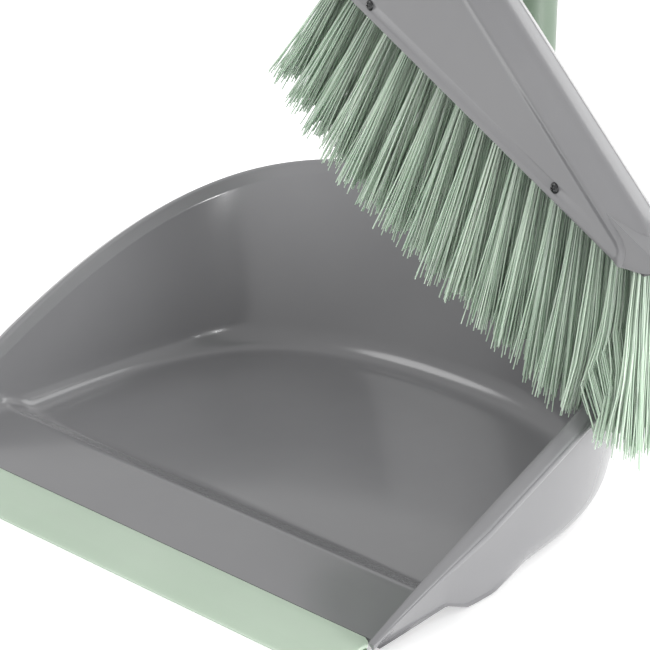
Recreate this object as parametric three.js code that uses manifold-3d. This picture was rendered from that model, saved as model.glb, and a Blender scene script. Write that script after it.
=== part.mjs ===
import * as THREE from "three";
import { mergeVertices } from "three/addons/utils/BufferGeometryUtils.js";
import Module from "manifold-3d";

// Long handled dust pan with its brush. Millimetres, +Z up, mouth of the pan towards -Y.
// The origin is the middle of the pan's flat underside.

// Pan tray: rim and floor outline are cubic curves, right half, mirrored about X = 0.
const rimStart = [133.1, -124.7, 9.9];
const rimPull = [139.6, 23.1, 91.7];
const rimCorner = [148.8, 117.5, 92.5];
const rimBack = [0, 117.5, 92.5];
const cornerStart = [130.5, -72.8];
const cornerPull = [131.5, 30];
const cornerCorner = [117, 90];
const cornerBack = [0, 90];
const floorStart = [115.7, -72.8];
const floorPull = [124.5, 19.5];
const floorCorner = [105.1, 78.9];
const floorBack = [0, 78.9];
const mouthHalf = 127.3;
const mouthCorner = 129.6;
const mouthY = -117.5;
const mouthZ = 6.0;
const crestY = -78.5;
const crestZ = 8.6;
const wellY = -60;
const wall = 2.5;
const flangeWidth = 6.8;
const flangeDrop = 6.0;
const rimFlare = 2.4;
const rimBand = 5.5;

// Soft lip in front of the ramp.
const lipFrontY = -142;
const lipHalf = 128.0;
const lipTop = 6.2;
const tongueDepth = 15;
const clearance = 0.3;

// Poles, sockets and grips.
const poleRadius = 11.5;
const poleWall = 0.6;
const poleLength = 700;
const socketRadius = 15;
const socketY = 131.2;
const socketTop = 126;
const socketFloor = 46;
const gripLength = 130;
const gripCover = 70;
const gripRadius = 15.5;
const hangHole = 6.5;

// Brush head, in its own frame: X along the head, Y through it, Z up the pole.
const headRight = 108;
const headLeft = -96;
const skirtRight = 128;
const skirtLeft = -113;
const ridgeEnd = 8;
const ridgeSlope = 0.292;
const neckX = -34;
const neckHalf = 15;
const neckTilt = -4.7;
const skirtHalf = 11;
const bandHalf = 13;
const roofFlat = 3.2;
const roofRise = 8.3;
const coverWall = 2.3;
const blockRight = 118;
const blockLeft = -98;
const blockDepth = 8.2;
const brushSocketTop = 104;
const screwX = 64.6;
const screwZ = 5.2;
const screwRadius = 2.3;

// Bristles.
const tuftCount = 17;
const tuftPitch = 12.8;
const tuftMiddle = 10.5;
const tuftLength = 82;
const tuftTrim = 0.0036;
const tuftLean = 0.05;
const tuftFan = 0.0034;
const tuftApart = [0, 0, -1.2, -3.6, 2.4, 0.8];
const partingGap = 1.6;
const partingDepth = 60;

// Where the brush stands over the pan.
const brushAt = [56.6, 25.0, 171.2];
const brushPitch = -2.7;
const brushRoll = 20.5;
const brushYaw = -11.2;

// Storage clip on the pan's pole.
const clipZ = 470;
const clipHeight = 18;
const clipReach = 38;
const clipThickness = 2.8;

const wasm = await Module();
wasm.setup();

function toSolid(geometry) {
  const bare = geometry.clone();
  for (const name of Object.keys(bare.attributes)) {
    if (name !== "position") bare.deleteAttribute(name);
  }
  const merged = mergeVertices(bare, 1e-4);
  return new wasm.Manifold(new wasm.Mesh({
    numProp: 3,
    vertProperties: Float32Array.from(merged.attributes.position.array),
    triVerts: Uint32Array.from(merged.index.array),
  }));
}

function fromSolid(solid) {
  const mesh = solid.getMesh();
  const geometry = new THREE.BufferGeometry();
  geometry.setAttribute("position", new THREE.BufferAttribute(Float32Array.from(mesh.vertProperties), 3));
  geometry.setIndex(Array.from(mesh.triVerts));
  return geometry;
}

function join(...geometries) {
  let solid = toSolid(geometries[0]);
  for (const other of geometries.slice(1)) {
    solid = solid.add(toSolid(other));
  }
  return fromSolid(solid);
}

function cut(geometry, ...tools) {
  let solid = toSolid(geometry);
  for (const tool of tools) {
    solid = solid.subtract(toSolid(tool));
  }
  return fromSolid(solid);
}

// The largest body left after a cut.
function trimmed(geometry, tool) {
  const parts = toSolid(geometry).subtract(toSolid(tool)).decompose();
  parts.sort((a, b) => b.volume() - a.volume());
  return fromSolid(parts[0]);
}

function common(first, second) {
  return fromSolid(toSolid(first).intersect(toSolid(second)));
}

const gloss = (color, roughness) => new THREE.MeshStandardMaterial({ color, roughness, metalness: 0 });
const panGrey = () => gloss(0x8f9094, 0.3);
const sage = () => gloss(0xaccab0, 0.55);
const poleGreen = () => gloss(0x9ab59b, 0.4);
const black = () => gloss(0x1c1e20, 0.5);

function piece(name, geometry, material) {
  const bare = geometry.index ? geometry.toNonIndexed() : geometry.clone();
  for (const key of Object.keys(bare.attributes)) {
    if (key !== "position") bare.deleteAttribute(key);
  }
  bare.computeVertexNormals();
  const mesh = new THREE.Mesh(bare, material);
  mesh.name = name;
  return mesh;
}

// A turned solid about Z from [radius, z] pairs that start and end on the axis.
function turned(pairs, segments = 28) {
  return new THREE.LatheGeometry(pairs.map(([r, z]) => new THREE.Vector2(r, z)), segments).rotateX(Math.PI / 2);
}

// A turned ring about Z; the profile closes on itself.
function ring(pairs, segments = 28) {
  return turned([...pairs, pairs[0]], segments);
}

// A flat outline in X and Z, centred through Y.
function plate(points, depth) {
  const shape = new THREE.Shape(points.map(([x, z]) => new THREE.Vector2(x, z)));
  return new THREE.ExtrudeGeometry(shape, { depth, bevelEnabled: false })
    .translate(0, 0, -depth / 2)
    .rotateX(Math.PI / 2);
}

const box = (x0, x1, y0, y1, z0, z1) => new THREE.BoxGeometry(x1 - x0, y1 - y0, z1 - z0)
  .translate((x0 + x1) / 2, (y0 + y1) / 2, (z0 + z1) / 2);

function bezier(a, b, c, d, t) {
  const s = 1 - t;
  return a.map((_, i) => s * s * s * a[i] + 3 * s * s * t * b[i] + 3 * s * t * t * c[i] + t * t * t * d[i]);
}

function rimTime(y) {
  let low = 0;
  let high = 1;
  for (let i = 0; i < 40; i += 1) {
    const mid = (low + high) / 2;
    if (bezier(rimStart, rimPull, rimCorner, rimBack, mid)[1] < y) low = mid;
    else high = mid;
  }
  return low;
}

// Ramp up from the mouth, over the crest and down a short slope into the well.
function floorHeight(y) {
  if (y >= wellY) return wall;
  if (y >= crestY) return wall + (crestZ - wall) * (wellY - y) / (wellY - crestY);
  return mouthZ + (crestZ - mouthZ) * (y - mouthY) / (crestY - mouthY);
}

// Matching points from the mouth to the back: where the flat floor ends, the foot of the wall and the rim.
function stations() {
  const list = [];
  const joinTime = rimTime(floorStart[1]);
  for (const y of [mouthY, -104, -91, crestY, floorStart[1]]) {
    const t = (y - mouthY) / (floorStart[1] - mouthY);
    const x = mouthHalf + (floorStart[0] - mouthHalf) * t;
    const side = mouthCorner + (cornerStart[0] - mouthCorner) * t;
    list.push({ flat: [x, y], floor: [side, y], rim: bezier(rimStart, rimPull, rimCorner, rimBack, joinTime * t) });
  }
  const steps = 22;
  for (let i = 1; i <= steps; i += 1) {
    const t = i / steps;
    list.push({
      flat: bezier(floorStart, floorPull, floorCorner, floorBack, t),
      floor: bezier(cornerStart, cornerPull, cornerCorner, cornerBack, t),
      rim: bezier(rimStart, rimPull, rimCorner, rimBack, joinTime + (1 - joinTime) * t),
    });
  }
  return list;
}

const vec = (p) => new THREE.Vector3(p[0], p[1], p[2] ?? 0);

// Horizontal normal of an outline, pointing away from the well.
function outlineNormal(list, key, i) {
  if (i === list.length - 1) return new THREE.Vector3(0, 1, 0);
  const a = list[Math.max(0, i - 1)][key];
  const b = list[i + 1][key];
  return new THREE.Vector3(b[1] - a[1], a[0] - b[0], 0).normalize();
}

// Inner and outer edge of the tray's section at one station, floor middle first.
function section(list, i) {
  const { flat, floor, rim } = list[i];
  const corner = vec([floor[0], floor[1], floorHeight(floor[1])]);
  const edge = vec(rim);
  const floorOut = i === 0 ? new THREE.Vector3(1, 0, 0) : outlineNormal(list, "floor", i);
  const rimOut = outlineNormal(list, "rim", i);
  const size = Math.min(1, (edge.z - corner.z) / 30);
  const crease = edge.clone().addScaledVector(rimOut, -rimFlare * size).add(new THREE.Vector3(0, 0, -rimBand * size));
  const up = crease.clone().sub(corner).normalize();
  const before = list[Math.max(0, i - 1)];
  const after = list[Math.min(list.length - 1, i + 1)];
  const along = vec(after.rim).add(vec(after.floor)).sub(vec(before.rim)).sub(vec(before.floor));
  if (i === list.length - 1) along.set(-1, 0, 0);
  const out = along.cross(up).normalize();
  const flatEnd = vec([flat[0], flat[1], floorHeight(flat[1])]);
  const reach = Math.min(flatEnd.distanceTo(corner), crease.distanceTo(corner) * 0.45);
  const wallStart = corner.clone().addScaledVector(up, reach);
  const curve = (a, b, c, t) => a.clone().multiplyScalar((1 - t) ** 2)
    .addScaledVector(b, 2 * t * (1 - t)).addScaledVector(c, t * t);
  const inner = [];
  const outer = [];
  for (const t of [0, 0.4, 0.75]) {
    inner.push(new THREE.Vector3(flatEnd.x * t, flatEnd.y, flatEnd.z));
    outer.push(new THREE.Vector3(flatEnd.x * t, flatEnd.y, flatEnd.z - wall));
  }
  const shift = wall * (1 + out.z) / Math.max(0.2, floorOut.dot(out));
  const cornerOut = corner.clone().addScaledVector(floorOut, shift).add(new THREE.Vector3(0, 0, -wall));
  const flatOut = flatEnd.clone().add(new THREE.Vector3(0, 0, -wall));
  const wallOut = wallStart.clone().addScaledVector(out, wall);
  for (const t of [0, 0.25, 0.5, 0.75, 1]) {
    inner.push(curve(flatEnd, corner, wallStart, t));
    outer.push(curve(flatOut, cornerOut, wallOut, t));
  }
  const creaseOut = crease.clone().addScaledVector(out, wall).add(new THREE.Vector3(0, 0, 1.5 * (size - 1)));
  inner.push(wallStart.clone().lerp(crease, 0.5), crease);
  outer.push(wallOut.clone().lerp(creaseOut, 0.5), creaseOut);
  const grow = Math.min(1, 0.4 + 0.6 * Math.max(0, edge.y - rimStart[1]) / 60);
  const thin = Math.min(grow, size);
  const near = creaseOut.clone().sub(edge).dot(rimOut);
  const width = Math.max(flangeWidth * grow, near + 1.2);
  const span = width - 0.9 - 1.1 * thin - near;
  const drop = Math.max(flangeDrop * thin, 3);
  const at = (w, z) => edge.clone().addScaledVector(rimOut, w).add(new THREE.Vector3(0, 0, z));
  inner.push(at(0, -0.3 * thin), at(0.17 * width, 0), at(0.85 * width, -2 * thin), at(width, -3.4 * thin), at(width, -drop));
  outer.push(at(near + 0.24 * span, -1.25 - 2.25 * thin), at(near + 0.42 * span, -1.3 - 1.9 * thin));
  outer.push(at(near + 0.9 * span, -1.5 - 2.9 * thin), at(near + span, -1.7 - 3.3 * thin), at(near + span, -drop));
  return { inner, outer };
}

// The tray as one closed skin: inside, underside and the edge that joins them.
function tray() {
  const list = stations();
  const sections = list.map((_, i) => section(list, i));
  const corners = [];
  const face = (a, b, c) => corners.push(a, b, c);
  const quad = (a, b, c, d) => {
    face(a, b, c);
    face(a, c, d);
  };
  for (const side of [1, -1]) {
    const place = (p, last) => new THREE.Vector3(last ? 0 : p.x * side, p.y, p.z);
    const wind = side === 1 ? quad : (a, b, c, d) => quad(d, c, b, a);
    const grid = (key) => sections.map((s, i) => s[key].map((p) => place(p, i === sections.length - 1)));
    const top = grid("inner");
    const under = grid("outer");
    const width = top[0].length;
    for (let i = 0; i + 1 < top.length; i += 1) {
      for (let j = 0; j + 1 < width; j += 1) {
        wind(top[i][j], top[i][j + 1], top[i + 1][j + 1], top[i + 1][j]);
        wind(under[i + 1][j], under[i + 1][j + 1], under[i][j + 1], under[i][j]);
      }
      wind(top[i][width - 1], under[i][width - 1], under[i + 1][width - 1], top[i + 1][width - 1]);
    }
    for (let j = 0; j + 1 < width; j += 1) {
      wind(under[0][j], under[0][j + 1], top[0][j + 1], top[0][j]);
    }
  }
  const keep = [];
  for (let i = 0; i < corners.length; i += 3) {
    const [a, b, c] = corners.slice(i, i + 3);
    const flat = a.distanceTo(b) < 1e-3 || b.distanceTo(c) < 1e-3 || c.distanceTo(a) < 1e-3;
    if (!flat) keep.push(a, b, c);
  }
  return new THREE.BufferGeometry().setFromPoints(keep);
}

// Rear socket column that also stands on the floor, tied to the back wall by two ribs.
function panShell() {
  const column = turned([[0, 0], [socketRadius - 1, 0], [socketRadius, 1.5], [socketRadius, socketTop], [0, socketTop]]);
  const bore = turned([
    [0, socketFloor - 22], [poleRadius - 3, socketFloor - 22], [poleRadius - 3, socketFloor],
    [poleRadius + clearance, socketFloor], [poleRadius + clearance, socketTop + 1], [0, socketTop + 1],
  ]);
  const ribs = [-9, 9].map((x) => {
    const outline = [[90.5, 0], [122, 0], [122, 84], [116.6, 84]];
    return plate(outline, 2.4).rotateZ(Math.PI / 2).translate(x, 0, 0);
  });
  const tongue = box(-lipHalf + 6, lipHalf - 6, mouthY - tongueDepth, mouthY + 3, 3.6, 5.0);
  const body = join(tray(), column.translate(0, socketY, 0), ...ribs, tongue);
  return piece("pan_shell", cut(body, bore.translate(0, socketY, 0)), panGrey());
}

// Soft strip that takes the pan's tongue in a slot and ends in a thin front edge.
function lipStrip() {
  const back = mouthY - clearance;
  const outline = new THREE.Shape();
  outline.moveTo(lipFrontY, 0.4);
  outline.lineTo(lipFrontY + 1.2, 0);
  outline.lineTo(back, 0);
  outline.lineTo(back, lipTop);
  outline.lineTo(lipFrontY + 8, 3.0);
  outline.lineTo(lipFrontY + 6, 2.2);
  outline.lineTo(lipFrontY, 1.0);
  outline.closePath();
  const strip = new THREE.ExtrudeGeometry(outline, { depth: 2 * lipHalf, bevelEnabled: false });
  strip.rotateX(Math.PI / 2).rotateZ(Math.PI / 2).translate(-lipHalf, 0, 0);
  const slot = box(
    -lipHalf + 6 - clearance, lipHalf - 6 + clearance,
    mouthY - tongueDepth - clearance, mouthY + 1, 3.6 - clearance, 5.0 + clearance,
  );
  const corner = (side) => box(-5, 5, -5, 5, -1, 9).translate(side * (lipHalf + 1.5), mouthY, 0);
  return piece("lip_strip", cut(strip, slot, corner(1), corner(-1)), sage());
}

function poleTube() {
  const inside = poleRadius - poleWall;
  return ring([[inside, 0], [poleRadius, 0], [poleRadius, poleLength], [inside, poleLength]], 32);
}

// Moulded plug in the foot of a pole, with a narrower end that goes down into the socket.
function polePlug() {
  const inside = poleRadius - poleWall - clearance;
  return turned([
    [0, -20], [poleRadius - 3.6, -20], [poleRadius - 3.4, -18], [poleRadius - 3.4, -clearance],
    [inside, clearance], [inside, 26], [inside - 1.5, 28], [0, 28],
  ]);
}

// Hand grip over the top of a pole, flattened towards its end for the hanging hole.
function grip() {
  const body = turned([
    [0, 0], [poleRadius + 1.8, 0], [poleRadius + 2.4, 1.5], [gripRadius, 22], [gripRadius + 0.4, 60],
    [gripRadius - 1.2, 96], [gripRadius - 0.5, gripLength - 14], [gripRadius - 4, gripLength - 4],
    [gripRadius - 8, gripLength], [0, gripLength],
  ], 32);
  const bore = turned([
    [0, -1], [poleRadius + clearance, -1], [poleRadius + clearance, gripCover + clearance], [0, gripCover + clearance],
  ], 32);
  const taper = (side) => plate([
    [side * 30, gripCover + 8], [side * 30, gripLength + 1], [side * 8, gripLength + 1], [side * 8, gripCover + 22],
    [side * 14, gripCover + 8],
  ], 60).rotateZ(Math.PI / 2);
  const hole = new THREE.CylinderGeometry(hangHole, hangHole, 50, 24).translate(0, 0, gripLength - 17);
  return cut(body, bore, taper(1), taper(-1), hole);
}

// Ridge line of the brush head: right end, neck, left end. The left side is the shorter and steeper one.
function headOutline(inset) {
  const foot = inset > 0 ? -4 : 0;
  const ridge = (x) => ridgeEnd + ridgeSlope * (headRight - x);
  const neckTop = ridge(neckX + neckHalf);
  const drop = inset * 1.05;
  const steep = (neckTop - ridgeEnd) / (neckX - neckHalf - headLeft);
  const right = [
    [headRight - inset, foot], [headRight - inset, ridgeEnd - 3 - drop], [headRight - 2.5 - inset, ridgeEnd + 0.6 - drop],
    [neckX + neckHalf, neckTop - drop],
  ];
  const left = [
    [neckX - neckHalf, neckTop - drop], [headLeft + 3.5 + inset, ridgeEnd + 3.5 * steep - drop * 1.2],
    [headLeft + inset, ridgeEnd - 3 - drop], [headLeft + inset, foot],
  ];
  return [...right, ...left];
}

// Raised roof along the sloping top edges: sloped faces up to a narrow flat top.
function roof() {
  const shape = new THREE.Shape(headOutline(0).map(([x, z]) => new THREE.Vector2(x, z)));
  const bevel = bandHalf - roofFlat;
  return new THREE.ExtrudeGeometry(shape, {
    depth: 2 * roofFlat, bevelEnabled: true, bevelThickness: bevel, bevelSize: roofRise, bevelSegments: 1, steps: 1,
  }).translate(0, 0, -roofFlat).rotateX(Math.PI / 2);
}

// Lower part of the cover, a little longer than the roof, with ends that sweep up.
function skirt() {
  const r = skirtRight;
  const l = skirtLeft;
  return plate([
    [r - 24, 0], [r - 15, 1.6], [r - 8, 5.4], [r - 3, 10], [r, 15], [r - 3, 18], [r - 30, 19],
    [l + 30, 19], [l + 3, 18], [l, 15], [l + 3, 10], [l + 8, 5.4], [l + 15, 1.6], [l + 24, 0],
  ], 2 * skirtHalf);
}

function brushCover() {
  const above = box(-200, 200, -40, 40, 0, 200);
  const lowered = headOutline(5).map(([x, z]) => [x, Math.max(z, -6)]);
  const pocket = (side) => plate(lowered, 20).translate(0, side * (skirtHalf + 10), 0);
  const neck = turned([
    [0, 40], [16.5, 40], [16.5, 62], [socketRadius, 76], [socketRadius, brushSocketTop], [0, brushSocketTop],
  ]);
  const shaped = cut(common(roof(), above), pocket(1), pocket(-1));
  const body = join(shaped, skirt(), alongPole(neck));
  const hollow = plate([
    [blockRight + 1, -1], [blockRight + 1, 9], [90, 14.5], [60, 17.5], [-75, 17.5], [blockLeft - 1, 9], [blockLeft - 1, -1],
  ], 2 * (skirtHalf - coverWall));
  const bore = turned([
    [0, 44], [poleRadius - 3, 44], [poleRadius - 3, 66], [poleRadius + clearance, 66],
    [poleRadius + clearance, brushSocketTop + 1], [0, brushSocketTop + 1],
  ]);
  const holes = [-screwX, screwX].flatMap((x) => [-skirtHalf, skirtHalf].map((y) => (
    new THREE.CylinderGeometry(screwRadius, screwRadius, 6, 16).translate(x, y, screwZ)
  )));
  return piece("brush_cover", cut(body, hollow, alongPole(bore), ...holes), panGrey());
}

// Moves something made about the pole's axis to where the pole stands on the head.
function alongPole(geometry) {
  return geometry.rotateY(neckTilt * Math.PI / 180).translate(neckX, 0, 0);
}

// Solid bar that carries the tufts, held in the cover by the four screws.
function bristleBlock() {
  const bar = plate([
    [blockRight, 1.5], [blockRight, 8], [89, 13.3], [59, 16.3], [-74, 16.3], [blockLeft, 8], [blockLeft, 1.5],
  ], 2 * blockDepth);
  return piece("bristle_block", bar, black());
}

// Room that the right rim needs between the bristles, so that the brush lifts straight off it.
function rimGuard(intoBrush) {
  const list = stations();
  const tilt = neckTilt * Math.PI / 180;
  const up = new THREE.Vector3(Math.sin(tilt), 0, Math.cos(tilt)).transformDirection(intoBrush.clone().invert());
  const loops = [];
  for (let i = 4; i < list.length - 8; i += 1) {
    const rimOut = outlineNormal(list, "rim", i);
    const inside = vec(list[i].rim).addScaledVector(rimOut, -partingGap).addScaledVector(up, partingGap);
    const outside = vec(list[i].rim).addScaledVector(rimOut, flangeWidth + partingGap).addScaledVector(up, partingGap);
    const below = [outside, inside].map((p) => p.clone().addScaledVector(up, -partingDepth));
    loops.push([inside, outside, ...below].map((p) => p.clone().applyMatrix4(intoBrush)));
  }
  const corners = [];
  const quad = (a, b, c, d) => corners.push(a, b, c, a, c, d);
  for (let i = 0; i + 1 < loops.length; i += 1) {
    for (let j = 0; j < 4; j += 1) {
      const next = (j + 1) % 4;
      quad(loops[i][j], loops[i][next], loops[i + 1][next], loops[i + 1][j]);
    }
  }
  const last = loops[loops.length - 1];
  quad(loops[0][3], loops[0][2], loops[0][1], loops[0][0]);
  quad(last[0], last[1], last[2], last[3]);
  return new THREE.BufferGeometry().setFromPoints(corners);
}

// One tuft: an oval bundle that fans out and leans further towards the ends of the head.
function tuft(index, guard) {
  const start = tuftMiddle + (index - (tuftCount - 1) / 2) * tuftPitch;
  const apart = tuftApart[index - 11] ?? 0;
  const length = tuftLength - tuftTrim * Math.max(0, -start - 30) ** 2;
  const end = start + length * (tuftLean + tuftFan * start) + apart;
  const shape = new THREE.CylinderGeometry(1, 1, 1, 10, 3).rotateX(Math.PI / 2);
  const spots = shape.attributes.position;
  for (let i = 0; i < spots.count; i += 1) {
    const down = 0.5 - spots.getZ(i);
    const wide = 3.8 + 0.9 * down;
    const deep = 7.0 + 2.6 * down;
    const middle = start + (end - start) * down;
    spots.setXYZ(i, middle + spots.getX(i) * wide, spots.getY(i) * deep, 1.2 - down * (length + 1.2));
  }
  const name = `tuft_${String(index + 1).padStart(2, "0")}`;
  return piece(name, index < 11 ? shape : trimmed(shape, guard), sage());
}

function coverScrew(name, x, side) {
  const shank = new THREE.CylinderGeometry(screwRadius - 0.25, screwRadius - 0.25, 3.2, 14)
    .translate(x, side * (skirtHalf - 0.6), screwZ);
  return piece(name, shank, black());
}

// A ring round the pan's pole with an arm and an open jaw for the brush's pole.
function handleClip() {
  const inner = poleRadius + clearance;
  const outer = inner + clipThickness;
  const around = (r0, r1, y) => ring([[r0, 0], [r1, 0], [r1, clipHeight], [r0, clipHeight]], 32).translate(0, y, 0);
  const arm = box(-4, 4, -clipReach + inner + 1, -inner - 1, 0, clipHeight);
  const mouth = plate([[-7.5, -1], [7.5, -1], [7.5, clipHeight + 1], [-7.5, clipHeight + 1]], 30)
    .translate(0, -clipReach - 15, 0);
  const jaw = cut(around(inner - 0.2, outer, -clipReach), mouth);
  return piece("handle_clip", join(around(inner, outer, 0), jaw, arm), panGrey());
}

function panAssembly() {
  const group = new THREE.Group();
  const poleFoot = socketFloor + clearance;
  const tube = piece("pan_pole", poleTube(), poleGreen());
  tube.position.set(0, socketY, poleFoot);
  const plug = piece("pan_pole_plug", polePlug(), black());
  plug.position.set(0, socketY, poleFoot);
  const hand = piece("pan_grip", grip(), panGrey());
  hand.position.set(0, socketY, poleFoot + poleLength - gripCover);
  const clip = handleClip();
  clip.position.set(0, socketY, clipZ);
  group.add(panShell(), lipStrip(), tube, plug, hand, clip);
  return group;
}

function brushAssembly() {
  const group = new THREE.Group();
  const stick = new THREE.Group();
  const poleFoot = 66 + clearance;
  const tube = piece("brush_pole", poleTube(), poleGreen());
  tube.position.z = poleFoot;
  const plug = piece("brush_pole_plug", polePlug(), black());
  plug.position.z = poleFoot;
  const hand = piece("brush_grip", grip(), panGrey());
  hand.position.z = poleFoot + poleLength - gripCover;
  stick.add(tube, plug, hand);
  stick.rotation.y = neckTilt * Math.PI / 180;
  stick.position.x = neckX;
  group.add(brushCover(), bristleBlock(), stick);
  group.add(coverScrew("screw_front_left", -screwX, -1), coverScrew("screw_front_right", screwX, -1));
  group.add(coverScrew("screw_back_left", -screwX, 1), coverScrew("screw_back_right", screwX, 1));
  const turn = Math.PI / 180;
  group.rotation.set(brushPitch * turn, brushRoll * turn, brushYaw * turn, "ZYX");
  group.position.set(...brushAt);
  group.updateMatrix();
  const guard = rimGuard(group.matrix.clone().invert());
  for (let i = 0; i < tuftCount; i += 1) {
    group.add(tuft(i, guard));
  }
  return group;
}

const dustPanAndBrush = new THREE.Group();
dustPanAndBrush.add(panAssembly(), brushAssembly());

export default dustPanAndBrush;
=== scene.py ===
import math

import bmesh
import bpy
from mathutils import Euler, Matrix, Vector


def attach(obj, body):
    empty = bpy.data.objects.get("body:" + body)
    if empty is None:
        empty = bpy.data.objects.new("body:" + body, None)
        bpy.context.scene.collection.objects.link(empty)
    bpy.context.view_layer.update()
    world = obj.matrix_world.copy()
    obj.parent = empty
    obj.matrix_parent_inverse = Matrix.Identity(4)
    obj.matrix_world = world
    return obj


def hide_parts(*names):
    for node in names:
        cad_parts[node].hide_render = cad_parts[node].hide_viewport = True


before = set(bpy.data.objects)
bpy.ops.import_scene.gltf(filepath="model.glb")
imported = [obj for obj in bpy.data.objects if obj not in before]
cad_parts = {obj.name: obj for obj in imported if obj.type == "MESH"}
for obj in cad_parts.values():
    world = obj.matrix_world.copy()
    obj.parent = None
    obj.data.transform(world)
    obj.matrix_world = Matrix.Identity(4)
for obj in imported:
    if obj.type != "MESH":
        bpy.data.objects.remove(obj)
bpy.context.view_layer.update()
mm = 0.001
scene = bpy.context.scene
print("stage: frame loaded", len(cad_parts), "nodes")


# camera: a long lens, a little above the pan's mouth and to its right

camSetup = {"at": (0.69378, -0.76359, 0.50195), "turn": (66.9012, -0.4304, 42.6316), "lens": 143.45}
camData = bpy.data.cameras.new("camera")
camData.lens = camSetup["lens"]
camData.sensor_width = 36.0
camData.clip_start = 0.05
camData.clip_end = 20
cam = bpy.data.objects.new("camera", camData)
cam.location = camSetup["at"]
cam.rotation_euler = Euler([math.radians(v) for v in camSetup["turn"]], "XYZ")
scene.collection.objects.link(cam)
scene.camera = cam


# small helpers

def addPiece(name, verts, faces, mat, sharp=38, place=None):
    mesh = bpy.data.meshes.new(name)
    mesh.from_pydata([tuple(v) for v in verts], [], faces)
    bm = bmesh.new()
    bm.from_mesh(mesh)
    bmesh.ops.remove_doubles(bm, verts=bm.verts, dist=1e-6)
    bmesh.ops.dissolve_degenerate(bm, edges=bm.edges, dist=1e-7)
    bmesh.ops.recalc_face_normals(bm, faces=bm.faces)
    bm.to_mesh(mesh)
    bm.free()
    obj = bpy.data.objects.new(name, mesh)
    scene.collection.objects.link(obj)
    return dress(obj, mat, sharp, place)


def dress(obj, mat, sharp=38, place=None):
    if place is not None:
        obj.data.transform(place)
    obj.data.materials.clear()
    obj.data.materials.append(mat)
    for face in obj.data.polygons:
        face.use_smooth = True
    obj.data.set_sharp_from_angle(angle=math.radians(sharp))
    obj.data.update()
    return obj


# Turns a piece with modifiers into a plain mesh piece.
def baked(obj, mat, sharp=38, place=None):
    graph = bpy.context.evaluated_depsgraph_get()
    mesh = bpy.data.meshes.new_from_object(obj.evaluated_get(graph))
    mesh.name = obj.name
    obj.modifiers.clear()
    obj.data = mesh
    return dress(obj, mat, sharp, place)


def carve(obj, cutters):
    for cutter in cutters:
        mod = obj.modifiers.new("cut", "BOOLEAN")
        mod.operation = "DIFFERENCE"
        mod.solver = "EXACT"
        mod.object = cutter
    graph = bpy.context.evaluated_depsgraph_get()
    mesh = bpy.data.meshes.new_from_object(obj.evaluated_get(graph))
    obj.modifiers.clear()
    obj.data = mesh
    for cutter in cutters:
        bpy.data.objects.remove(cutter)
    return obj


def soften(obj, width, angle=40, segments=3):
    mod = obj.modifiers.new("edge", "BEVEL")
    mod.width = width
    mod.segments = segments
    mod.limit_method = "ANGLE"
    mod.angle_limit = math.radians(angle)
    return obj


# Rings of [radius, height] in mm about Z; the first and last pair may sit on the axis.
def latheMesh(pairs, steps=96):
    verts, faces, rows = [], [], []
    for radius, height in pairs:
        if radius < 1e-6:
            rows.append([len(verts)])
            verts.append((0, 0, height * mm))
            continue
        rows.append(list(range(len(verts), len(verts) + steps)))
        for i in range(steps):
            a = 2 * math.pi * i / steps
            verts.append((radius * mm * math.cos(a), radius * mm * math.sin(a), height * mm))
    for low, high in zip(rows, rows[1:]):
        for i in range(steps):
            j = (i + 1) % steps
            if len(low) == 1:
                faces.append((low[0], high[j], high[i]))
            elif len(high) == 1:
                faces.append((low[i], low[j], high[0]))
            else:
                faces.append((low[i], low[j], high[j], high[i]))
    return verts, faces


# A flat outline in X and Z, in mm, centred through Y.
def prism(outline, depth, lift=0.0):
    n = len(outline)
    verts = [(x * mm, (lift + side * depth / 2) * mm, z * mm) for side in (-1, 1) for x, z in outline]
    faces = [tuple(range(n)), tuple(range(2 * n - 1, n - 1, -1))]
    faces += [(i, i + n, (i + 1) % n + n, (i + 1) % n) for i in range(n)]
    return verts, faces


def shape(name, data, place=None):
    return addPiece(name, data[0], data[1], blank, place=place)


# Rounds the corners of a closed outline.
def rounded(points, radius, steps=6):
    out = []
    n = len(points)
    for i, p in enumerate(points):
        a, b, c = Vector(points[i - 1]), Vector(p), Vector(points[(i + 1) % n])
        r = min(radius, (a - b).length * 0.48, (c - b).length * 0.48)
        start, end = b + (a - b).normalized() * r, b + (c - b).normalized() * r
        for k in range(steps + 1):
            t = k / steps
            out.append(tuple(start * (1 - t) ** 2 + b * 2 * t * (1 - t) + end * t * t))
    return out


# finishes

def newMaterial(name):
    mat = bpy.data.materials.new(name)
    mat.use_nodes = True
    tree = mat.node_tree
    return mat, tree, tree.nodes["Principled BSDF"]


def link(tree, a, outName, b, inName):
    tree.links.new(a.outputs[outName], b.inputs[inName])


def noiseNode(tree, scale, detail=3.0, rough=0.5, stretch=(1, 1, 1)):
    coord = tree.nodes.new("ShaderNodeTexCoord")
    mapping = tree.nodes.new("ShaderNodeMapping")
    mapping.inputs["Scale"].default_value = stretch
    noise = tree.nodes.new("ShaderNodeTexNoise")
    noise.inputs["Scale"].default_value = scale
    noise.inputs["Detail"].default_value = detail
    noise.inputs["Roughness"].default_value = rough
    link(tree, coord, "Object", mapping, "Vector")
    link(tree, mapping, "Vector", noise, "Vector")
    return noise


def rampNode(tree, source, stops):
    ramp = tree.nodes.new("ShaderNodeValToRGB")
    ramp.color_ramp.elements[0].position = stops[0][0]
    ramp.color_ramp.elements[0].color = (*stops[0][1], 1)
    ramp.color_ramp.elements[1].position = stops[1][0]
    ramp.color_ramp.elements[1].color = (*stops[1][1], 1)
    tree.links.new(source, ramp.inputs["Fac"])
    return ramp


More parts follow.
